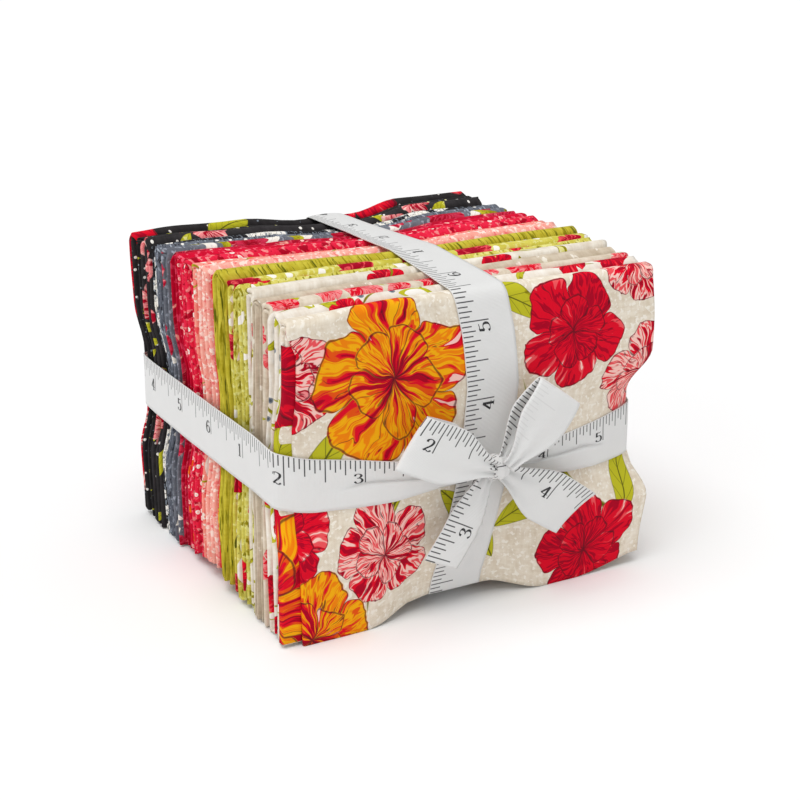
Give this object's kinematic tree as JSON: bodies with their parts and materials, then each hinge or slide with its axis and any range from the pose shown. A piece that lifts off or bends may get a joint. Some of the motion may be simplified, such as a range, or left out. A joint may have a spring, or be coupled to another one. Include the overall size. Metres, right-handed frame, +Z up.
{
  "type": "fat quarter bundle",
  "caption": "Folded quilting cotton cuts standing on edge in a tight stack, tied both ways with a ruler-printed ribbon and a bow in front",
  "frame": {"origin": "on the surface that the bundle stands on, under the middle of its outline", "axes": "+X along the front cloth's face to the right as seen from the bow's side, +Y from the bow's side to the back, +Z up"},
  "size_m": [0.1396, 0.1436, 0.1105],
  "materials": {
    "cloth_01_linen_blossom": "matte",
    "cloth_02_white_sprig": "matte",
    "cloth_03_oat_rosebud": "matte",
    "cloth_04_oat_plain": "matte",
    "cloth_05_white_leaf": "matte",
    "cloth_06_lime_streak": "matte",
    "cloth_07_lime_dot": "matte",
    "cloth_08_olive_plain": "matte",
    "cloth_09_coral_leaf": "matte",
    "cloth_10_peach_fleck": "matte",
    "cloth_11_peach_gold": "matte",
    "cloth_12_rose_dot": "matte",
    "cloth_13_crimson_spark": "matte",
    "cloth_14_crimson_petal": "matte",
    "cloth_15_slate_bloom": "matte",
    "cloth_16_slate_dot": "matte",
    "cloth_17_ink_sketch": "matte",
    "cloth_18_charcoal_bud": "matte",
    "cloth_19_black_dot": "matte",
    "cloth_20_black_rose": "matte",
    "ribbon": "satin"
  },
  "bodies": {
    "root": {"cloth_01_linen_blossom": "cloth_01_linen_blossom", "cloth_02_white_sprig": "cloth_02_white_sprig", "cloth_03_oat_rosebud": "cloth_03_oat_rosebud", "cloth_04_oat_plain": "cloth_04_oat_plain", "cloth_05_white_leaf": "cloth_05_white_leaf", "cloth_06_lime_streak": "cloth_06_lime_streak", "cloth_07_lime_dot": "cloth_07_lime_dot", "cloth_08_olive_plain": "cloth_08_olive_plain", "cloth_09_coral_leaf": "cloth_09_coral_leaf", "cloth_10_peach_fleck": "cloth_10_peach_fleck", "cloth_11_peach_gold": "cloth_11_peach_gold", "cloth_12_rose_dot": "cloth_12_rose_dot", "cloth_13_crimson_spark": "cloth_13_crimson_spark", "cloth_14_crimson_petal": "cloth_14_crimson_petal", "cloth_15_slate_bloom": "cloth_15_slate_bloom", "cloth_16_slate_dot": "cloth_16_slate_dot", "cloth_17_ink_sketch": "cloth_17_ink_sketch", "cloth_18_charcoal_bud": "cloth_18_charcoal_bud", "cloth_19_black_dot": "cloth_19_black_dot", "cloth_20_black_rose": "cloth_20_black_rose", "ribbon_waist": "ribbon", "ribbon_upright": "ribbon", "bow_knot": "ribbon", "bow_loop_left": "ribbon", "bow_loop_right": "ribbon", "bow_tail_left": "ribbon", "bow_tail_right": "ribbon"}
  },
  "joints": []
}
